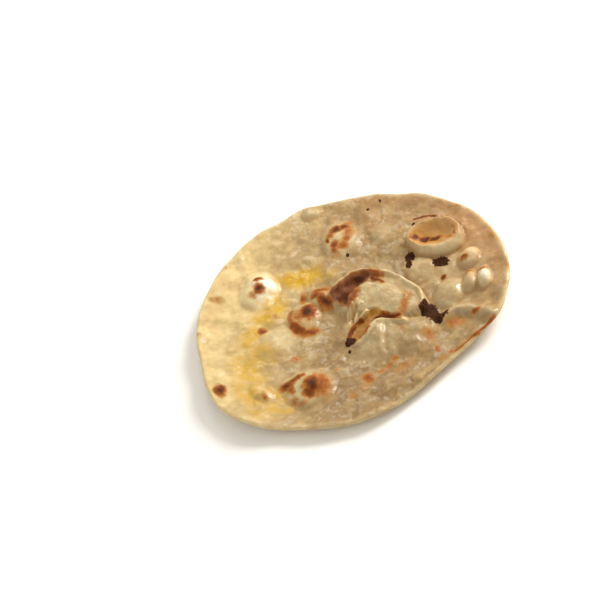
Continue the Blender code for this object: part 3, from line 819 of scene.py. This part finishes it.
def faded(distance):
    """1 in the middle of a mark, fading to 0 at nearly twice its size."""
    return held(1.0 - (distance / SOFT_REACH) ** 2) ** 2


def toast_and_shadow_mask(x, y):
    """How browned each point is, with painted shadow by the flap, the split and the strands."""
    x, y = bent_place(x, y, RAGS, MARK_SEED)
    mask = np.zeros_like(x)
    for *ellipse, amount in TOASTED:
        mask = np.maximum(mask, amount * faded(ellipse_distance(x, y, *ellipse)))
    for path, half_width, amount in TOAST_AND_SHADOW_LINES:
        distance, _ = path_place(x, y, path)
        mask = np.maximum(mask, amount * faded(distance / half_width))
    return mask


def char_mask(x, y):
    """How charred each point is."""
    mask = np.zeros_like(x)
    ragged = layered_noise(x, y, CHAR_RAGS, CHAR_SEED)
    for ellipse in CHARRED:
        distance = ellipse_distance(x, y, *ellipse) + ragged
        mask = np.maximum(mask, held((CHAR_REACH - distance) / CHAR_FADE))
    inside, _ = inside_distance(x, y, CHARRED_FOOT)
    return np.maximum(mask, held((inside - FOOT_RAGGED * ragged + FOOT_REACH) / FOOT_FADE))


def wall_mask(x, y, bent):
    """How far the inside of the torn blister's back wall is browned dark."""
    inside, _ = inside_distance(*bent, DARK_WALL)
    return held((inside + layered_noise(x, y, WALL_RAGS, WALL_SEED) + WALL_REACH) / WALL_FADE)


def soft_places(x, y, places, power):
    """The strongest of several places at each point; each fades out from its middle."""
    mask = np.zeros_like(x)
    for *ellipse, amount in places:
        mask = np.maximum(mask, amount * np.exp(-ellipse_distance(x, y, *ellipse) ** power))
    return mask


def painted_shade_mask(x, y):
    """Painted shade: where the dough is painted darker than at the left, and at the front."""
    across = in_direction(x, y, SHADE_DIRECTION) + layered_noise(x, y, SHADE_RAGS, SHADE_SEED)
    painted_shade = smooth_step(held((across - SHADE_FROM) / (SHADE_TO - SHADE_FROM)))
    return np.minimum(1.0, SHADE_MOST * painted_shade + soft_places(x, y, (FRONT_SHADE,), SOFT_POWER))


def pale_and_highlight_mask(x, y, share):
    """Where a blister, an edge or the rim is paler than the dough round it; part of it is painted highlight,
    on lit sides of blisters, along the crest, the ridge and the rim, and in front of the split.
    """
    rim = RIM_PALE * held((share - RIM_SHARE) / (1.0 - RIM_SHARE))
    closed = closed_height(x, y)
    pale = BLISTER_PALE * held(closed / BLISTER_PALE_AT)
    for *ellipse, amount in WHITENED:
        cover = np.exp(-ellipse_distance(x, y, *ellipse) ** WHITENED_POWER)
        pale += (amount - pale) * cover * held(closed / WHITENED_AT)
    _, across, _ = sunken_place(x, y)
    in_ring = held(sunken_height(x, y))
    pale *= 1.0 - in_ring * np.clip(RING_LOSS + RING_LOSS_ACROSS * across, 0.0, RING_LOSS_MOST)
    flap = FLAP_PALE * held(flap_height(x, y) / FLAP_LEVEL)
    skin = SKIN_PALE * held(torn_height(x, y) / SKIN_PALE_AT)
    edges = [bead(x, y, *edge) for edge in PALE_EDGES]
    for form in (flap, skin, rim, soft_places(x, y, LIGHTENED, SOFT_POWER), *edges):
        pale = np.maximum(pale, form)
    return pale


def sunken_mask(x, y):
    """The golden floor inside the sunken blister's ring."""
    distance, _, ring_at = sunken_place(x, y)
    leftwards = (SUNKEN_CENTRE[0] - x) / SUNKEN_RADII[0]
    within = held((SUNKEN_REACH - distance / ring_at) / SUNKEN_FADE)
    return within * held(SUNKEN_STRENGTH + SUNKEN_LEFTWARDS * leftwards)


def gold_mask(x, y):
    """The golden inside of the split and of the slit under the flap."""
    opened = np.ones_like(x)
    for path, half_widths in ((SPLIT, SPLIT_HALF_WIDTHS), (SLIT, SLIT_HALF_WIDTHS)):
        opened = cut_path(opened, x, y, path, half_widths, [0.0] * len(path), GOLD_REACH)
    return 1.0 - opened


def crease_shade_mask(x, y):
    """How much lower a point lies than its surroundings, in creases round the blisters, where shade is
    painted.
    """
    around = np.zeros_like(x)
    turns = range(0, 360, CREASE_TURN)
    for turn in turns:
        step = np.radians(turn)
        around += relief_height(x + CREASE_REACH * np.cos(step), y + CREASE_REACH * np.sin(step))
    return held((around / len(turns) - relief_height(x, y)) / CREASE_DEPTH)


def surface_masks(x, y, share):
    """Every mask of the upper face, by name. Masks of forms are bent like the forms."""
    bent = bent_place(x, y, BENDS, FORM_SEED)
    return {
        "toast_and_shadow": toast_and_shadow_mask(x, y),
        "char": char_mask(x, y),
        "wall": wall_mask(x, y, bent),
        "gold": gold_mask(*bent),
        "glow": bead(*bent, GLOW, 1.0, GLOW_WIDTH),
        "sunken": sunken_mask(*bent),
        "butter": soft_places(x, y, BUTTERED, BUTTER_POWER),
        "painted_shade": painted_shade_mask(x, y),
        "tan": soft_places(x, y, TAN_AND_SHADE, SOFT_POWER),
        "pale": pale_and_highlight_mask(*bent, share),
        "crease_shade": crease_shade_mask(x, y),
    }


def underside_masks(x, y):
    """The masks of the underside that aren't 0 all over, by name."""
    toast_and_shadow = noise(x, y, UNDER_TOAST_SIZE, UNDERSIDE_SEED) - UNDER_TOAST_FROM
    tan = UNDER_TAN_MIDDLE + UNDER_TAN_SWING * noise(x, y, UNDER_TAN_SIZE, UNDERSIDE_SEED + 1)
    return {
        "toast_and_shadow": UNDER_TOAST_STRENGTH * np.clip(toast_and_shadow, 0.0, UNDER_TOAST_LIMIT),
        "tan": held(tan),
    }


def add_object(name, data):
    """A new object in the scene."""
    thing = bpy.data.objects.new(name, data)
    bpy.context.scene.collection.objects.link(thing)
    return thing


def new_mesh(name, places, faces):
    """A smooth mesh from places in millimetres."""
    mesh = bpy.data.meshes.new(name)
    mesh.from_pydata([tuple(place) for place in places * MM], [], faces)
    mesh.shade_smooth()
    return mesh


def grid_faces():
    """Faces of the upper grid and the coarser lower one, and grid places of the lower one's own points."""
    columns, rows = SQUARES

    def top(i, j):
        return i * (rows + 1) + j

    faces = [
        (top(i, j), top(i + 1, j), top(i + 1, j + 1), top(i, j + 1))
        for i in range(columns)
        for j in range(rows)
    ]
    own = {}
    for i in range(0, columns + 1, UNDERSIDE_STEP):
        for j in range(0, rows + 1, UNDERSIDE_STEP):
            if i not in (0, columns) and j not in (0, rows):
                own[i, j] = (columns + 1) * (rows + 1) + len(own)

    def side(start, end):
        """Corners from one place up to the next, with every rim point between."""
        (i, j), (k, m) = start, end
        along_rim = (i == k and i in (0, columns)) or (j == m and j in (0, rows))
        if not along_rim:
            return [own[start] if start in own else top(i, j)]
        steps = range(UNDERSIDE_STEP)
        return [top(i + (k - i) * n // UNDERSIDE_STEP, j + (m - j) * n // UNDERSIDE_STEP) for n in steps]

    for i in range(0, columns, UNDERSIDE_STEP):
        for j in range(0, rows, UNDERSIDE_STEP):
            right, back = i + UNDERSIDE_STEP, j + UNDERSIDE_STEP
            corners = ((i, j), (i, back), (right, back), (right, j))
            faces.append([index for n in range(4) for index in side(corners[n], corners[(n + 1) % 4])])
    return faces, list(own)


def add_bake_map(mesh, columns, rows, own):
    """A map for baking: the upper grid as one large square, the lower grid as a small one beside it."""
    grid = [(i, j) for i in range(columns + 1) for j in range(rows + 1)]
    places = np.array(grid + list(own), dtype=float) / (columns, rows)
    corners = np.empty(len(mesh.loops), dtype=int)
    mesh.loops.foreach_get("vertex_index", corners)
    first_below = mesh.polygons[columns * rows].loop_start
    uv = MAP_MARGIN + MAP_TOP * places[corners]
    uv[first_below:] = 1.0 - MAP_MARGIN - MAP_BOTTOM * (1.0 - places[corners[first_below:]])
    layer = mesh.uv_layers.new(name=MAP_NAME)
    layer.data.foreach_set("uv", uv.ravel())


def write_mask(mesh, name, values):
    """Stores one number for each vertex under a name."""
    attribute = mesh.attributes.new(name, "FLOAT", "POINT")
    attribute.data.foreach_set("value", np.ascontiguousarray(values, dtype=np.float32))


def build_bread():
    """The whole bread as one closed mesh, with its masks."""
    x, y, share = disc_grid()
    upper, lower = face_heights(x, y, share)
    faces, own = grid_faces()
    inner = tuple(np.transpose(own))
    plan_x, plan_y, plan_share = (np.concatenate((part.ravel(), part[inner])) for part in (x, y, share))
    height = np.concatenate((upper.ravel(), lower[inner]))
    below = np.arange(len(plan_x)) >= x.size
    places = np.stack((plan_x - BOX_MIDDLE[0], plan_y - BOX_MIDDLE[1], height), axis=1)
    mesh = new_mesh("bread_skin", places, faces)
    add_bake_map(mesh, *SQUARES, own)
    underneath = underside_masks(plan_x, plan_y)
    for name, values in surface_masks(plan_x, plan_y, plan_share).items():
        write_mask(mesh, name, np.where(below, underneath.get(name, 0.0), values))
    return add_object("bread_skin", mesh)


class Nodes:
    """Short names for building a material's node tree."""

    def __init__(self, name):
        self.material = bpy.data.materials.new(name)
        self.material.use_nodes = True
        self.tree = self.material.node_tree
        self.shader = self.tree.nodes["Principled BSDF"]
        self.place = self.tree.nodes.new("ShaderNodeTexCoord").outputs["Object"]

    def put(self, socket, value):
        """Links a socket to another one, or sets it to a number or a colour."""
        if isinstance(value, bpy.types.NodeSocket):
            self.tree.links.new(value, socket)
        elif socket.type == "RGBA":
            socket.default_value = (*value, 1.0)
        else:
            socket.default_value = value

    def mask(self, name):
        """A mask that the mesh carries."""
        node = self.tree.nodes.new("ShaderNodeAttribute")
        node.attribute_name = name
        return node.outputs["Fac"]

    def noise(self, size, detail, roughness, distortion):
        """Values round 0.5 that change over a size in millimetres."""
        node = self.tree.nodes.new("ShaderNodeTexNoise")
        self.put(node.inputs["Vector"], self.place)
        node.inputs["Scale"].default_value = 1.0 / (size * MM)
        node.inputs["Detail"].default_value = detail
        node.inputs["Roughness"].default_value = roughness
        node.inputs["Distortion"].default_value = distortion
        return node.outputs["Fac"]

    def maths(self, operation, a, b, c=0.0, clamp=False):
        """One step of arithmetic."""
        node = self.tree.nodes.new("ShaderNodeMath")
        node.operation = operation
        node.use_clamp = clamp
        for socket, value in zip(node.inputs, (a, b, c)):
            self.put(socket, value)
        return node.outputs["Value"]

    def times(self, a, b):
        """A product."""
        return self.maths("MULTIPLY", a, b)

    def rescale(self, value, low, high, to_low=0.0, to_high=1.0):
        """Turns low to high into to_low to to_high, smoothly, and holds the ends."""
        node = self.tree.nodes.new("ShaderNodeMapRange")
        node.interpolation_type = "SMOOTHSTEP"
        ends = {"From Min": low, "From Max": high, "To Min": to_low, "To Max": to_high}
        for name, number in ends.items():
            node.inputs[name].default_value = number
        self.put(node.inputs["Value"], value)
        return node.outputs["Result"]

    def mix(self, factor, a, b):
        """A colour from a to b."""
        node = self.tree.nodes.new("ShaderNodeMix")
        node.data_type = "RGBA"
        self.put(node.inputs["Factor"], factor)
        self.put(node.inputs[MIX_A], a)
        self.put(node.inputs[MIX_B], b)
        return node.outputs[MIX_RESULT]

    def ramp(self, value, stops):
        """A colour that runs through several stops."""
        node = self.tree.nodes.new("ShaderNodeValToRGB")
        ramp = node.color_ramp
        while len(ramp.elements) < len(stops):
            ramp.elements.new(1.0)
        for element, (position, colour) in zip(ramp.elements, stops):
            element.position = position
            element.color = (*colour, 1.0)
        self.put(node.inputs["Fac"], value)
        return node.outputs["Color"]


def dough_colour(n, grain, butter):
    """Cream and tan dough with painted shade towards the middle and in the creases, soft blotches, paler
    blisters and edges with painted highlights, golden openings, and butter soaked in.
    """
    painted_shade, tan, pale = n.mask("painted_shade"), n.mask("tan"), n.mask("pale")
    # painted shade: the cream darkens towards the middle and the front
    colour = n.mix(painted_shade, CREAM, SHADED_CREAM)
    mottle = n.maths("MULTIPLY_ADD", grain["middle"], 0.5, n.times(grain["broad"], 0.5))
    # tan, partly painted shade, broken up by mottle
    tanned = n.maths("ADD", tan, n.rescale(mottle, *TAN_MOTTLE), clamp=True)
    colour = n.mix(tanned, colour, TAN)
    bare = n.rescale(tan, *BLOTCH_ON_TAN)
    light = n.times(bare, n.rescale(painted_shade, *BLOTCH_ON_SHADE))
    where = {"all": 1.0, "bare": bare, "light": light}
    for place, name, none_at, full_at, strength, tint in BLOTCHES:
        blotch = n.times(where[place], n.rescale(grain[name], none_at, full_at, 0.0, strength))
        colour = n.mix(blotch, colour, tint)
    # paler blisters and edges, turning to painted highlight white where the mask is strongest
    paler = n.times(pale, n.rescale(grain["middle"], *PALE_MOTTLE))
    colour = n.mix(paler, colour, n.mix(n.rescale(pale, *HIGHLIGHT_WHITE_STEPS), WHITISH, HIGHLIGHT_WHITE))
    # painted shade: the creases darkened towards golden brown
    colour = n.mix(n.times(n.mask("crease_shade"), CREASE_SHADE_STRENGTH), colour, GOLDEN)
    colour = n.mix(n.times(butter, BUTTER_STRENGTH), colour, BUTTER)
    for name, strength, tint in OPENINGS:
        colour = n.mix(n.times(n.mask(name), strength), colour, tint)
    return colour


def broken_mask(n, grain, name):
    """A mark's mask with its edge broken up by grains, and still 0 where there is no mark."""
    grains, full_at = BROKEN[name]
    mask = n.mask(name)
    broken = mask
    for grain_name, amount in grains:
        broken = n.maths("MULTIPLY_ADD", n.maths("SUBTRACT", grain[grain_name], 0.5), amount, broken)
    return n.times(broken, n.rescale(mask, 0.0, full_at))


def add_marks(n, grain, colour):
    """Lays browning with its painted shadows, the dark wall and char on the dough, and returns the colour
    with the three marks.
    """
    toast_and_shadow = broken_mask(n, grain, "toast_and_shadow")
    colour = n.mix(n.rescale(toast_and_shadow, *TOAST_FRINGE), colour, n.ramp(toast_and_shadow, TOAST_AND_SHADOW_RAMP))

    wall = broken_mask(n, grain, "wall")
    colour = n.mix(n.rescale(wall, *WALL_FRINGE), colour, WALL_EDGE)
    wall = n.rescale(wall, *WALL_CORE)
    colour = n.mix(wall, colour, n.mix(n.rescale(grain["middle"], *WALL_FLECKS), WALL, WALL_LIGHT))

    char = broken_mask(n, grain, "char")
    colour = n.mix(n.rescale(char, *CHAR_FRINGE), colour, CHAR_EDGE)
    char = n.rescale(char, *CHAR_CORE)
    colour = n.mix(char, colour, n.mix(n.rescale(grain["speck"], *CHAR_FLECKS), CHAR, CHAR_LIGHT))
    return colour, toast_and_shadow, wall, char


def add_shine(n, grain, butter, toast_and_shadow, wall, char):
    """An oily coat that is weaker on the cream and the pale dough, and dry on the marks."""
    roughness = n.rescale(grain["small"], *ROUGHNESS)
    n.put(n.shader.inputs["Roughness"], n.maths("MULTIPLY_ADD", char, CHAR_ROUGHNESS, roughness))
    oily = n.maths("MULTIPLY_ADD", butter, BUTTER_OIL, n.rescale(grain["middle"], *OIL))
    oily = n.times(oily, n.rescale(n.mask("painted_shade"), *OIL_ON_CREAM))
    oily = n.times(oily, n.rescale(n.mask("pale"), *OIL_ON_PALE))
    dry = n.maths("MAXIMUM", n.maths("MAXIMUM", char, wall), n.rescale(toast_and_shadow, *DRY_TOAST))
    coat = n.maths("MULTIPLY", oily, n.maths("SUBTRACT", 1.0, dry), clamp=True)
    n.put(n.shader.inputs["Coat Weight"], coat)


def add_bump(n, grain, char):
    """Small unevenness of the skin, with crumbs where it is charred."""
    bump = n.tree.nodes.new("ShaderNodeBump")
    bump.inputs["Strength"].default_value = BUMP_STRENGTH
    bump.inputs["Distance"].default_value = BUMP_DEPTH * MM
    skin = n.maths("ADD", grain["small"], n.times(grain["fine"], FINE_BUMP))
    crumbs = n.times(grain["speck"], char)
    n.put(bump.inputs["Height"], n.maths("MULTIPLY_ADD", crumbs, CRUMB_BUMP, skin))
    n.put(n.shader.inputs["Normal"], bump.outputs["Normal"])
    n.put(n.shader.inputs["Coat Normal"], bump.outputs["Normal"])


def dough_material():
    """Baked dough: blotched cream and tan with painted shade and highlights, browned and charred places, and
    an oily shine.
    """
    n = Nodes("baked_dough")
    grain = {name: n.noise(*settings) for name, settings in GRAINS.items()}
    butter = n.times(n.mask("butter"), n.rescale(grain["middle"], *BUTTER_MOTTLE))
    colour, toast_and_shadow, wall, char = add_marks(n, grain, dough_colour(n, grain, butter))
    n.put(n.shader.inputs["Base Color"], colour)
    add_shine(n, grain, butter, toast_and_shadow, wall, char)
    add_bump(n, grain, char)
    for name, value in DOUGH_SHADER.items():
        n.shader.inputs[name].default_value = value
    return n.material


def floor():
    """A plain pale floor."""
    mesh = bpy.data.meshes.new("floor")
    sides = ((-1, -1), (1, -1), (1, 1), (-1, 1))
    corners = [(FLOOR_HALF * x, FLOOR_HALF * y, -FLOOR_GAP) for x, y in sides]
    mesh.from_pydata(corners, [], [(0, 1, 2, 3)])
    plane = add_object("floor", mesh)
    n = Nodes("pale_floor")
    n.shader.inputs["Base Color"].default_value = FLOOR_COLOUR
    n.shader.inputs["Roughness"].default_value = FLOOR_ROUGHNESS
    mesh.materials.append(n.material)


def area_light(name, place, size, power, colour):
    """A round soft light that faces the bread."""
    light = bpy.data.lights.new(name, "AREA")
    light.shape = "DISK"
    light.size = size
    light.energy = power
    light.color = colour
    lamp = add_object(name, light)
    lamp.location = place
    lamp.rotation_euler = Vector(place).to_track_quat("Z", "Y").to_euler()


def lighting():
    """A soft key from the back right, a weak fill, a small light behind for the shine, a white surround."""
    for light in LIGHTS:
        area_light(*light)
    world = bpy.data.worlds.new("surround")
    world.use_nodes = True
    background = world.node_tree.nodes["Background"]
    background.inputs["Color"].default_value = SURROUND_COLOUR
    background.inputs["Strength"].default_value = SURROUND_STRENGTH
    bpy.context.scene.world = world
    bpy.context.scene.view_settings.view_transform = "Standard"


def camera():
    """The photograph's view: from above the front, rolled, with the bread where the photo has it."""
    elevation = np.radians(CAMERA_ELEVATION)
    roll = np.radians(CAMERA_ROLL)
    backwards = Vector((0.0, -np.cos(elevation), np.sin(elevation)))
    level = Vector((1.0, 0.0, 0.0))
    upright = Vector((0.0, np.sin(elevation), np.cos(elevation)))
    right = level * np.cos(roll) - upright * np.sin(roll)
    up = level * np.sin(roll) + upright * np.cos(roll)
    distance = LENS / SENSOR * PHOTO_PIXELS * MM_PER_PIXEL * MM
    place = backwards * distance
    slope = SENSOR / LENS / PHOTO_PIXELS
    across = (ZERO_AT_PIXEL[0] - PHOTO_PIXELS / 2.0) * slope
    down = (ZERO_AT_PIXEL[1] - PHOTO_PIXELS / 2.0) * slope
    ray = right * across - up * down - backwards
    lands = place - ray * (place.z / ray.z)
    place -= Vector((lands.x + BOX_MIDDLE[0] * MM, lands.y + BOX_MIDDLE[1] * MM, 0.0))
    data = bpy.data.cameras.new("camera")
    data.lens = LENS
    data.sensor_width = SENSOR
    view = add_object("camera", data)
    turn = Matrix((right, up, backwards)).transposed().to_4x4()
    view.matrix_world = Matrix.Translation(place) @ turn
    bpy.context.scene.camera = view


camera()
lighting()
floor()
bread = build_bread()
bread.data.materials.append(dough_material())
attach(bread, BODY)
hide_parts(NODE)
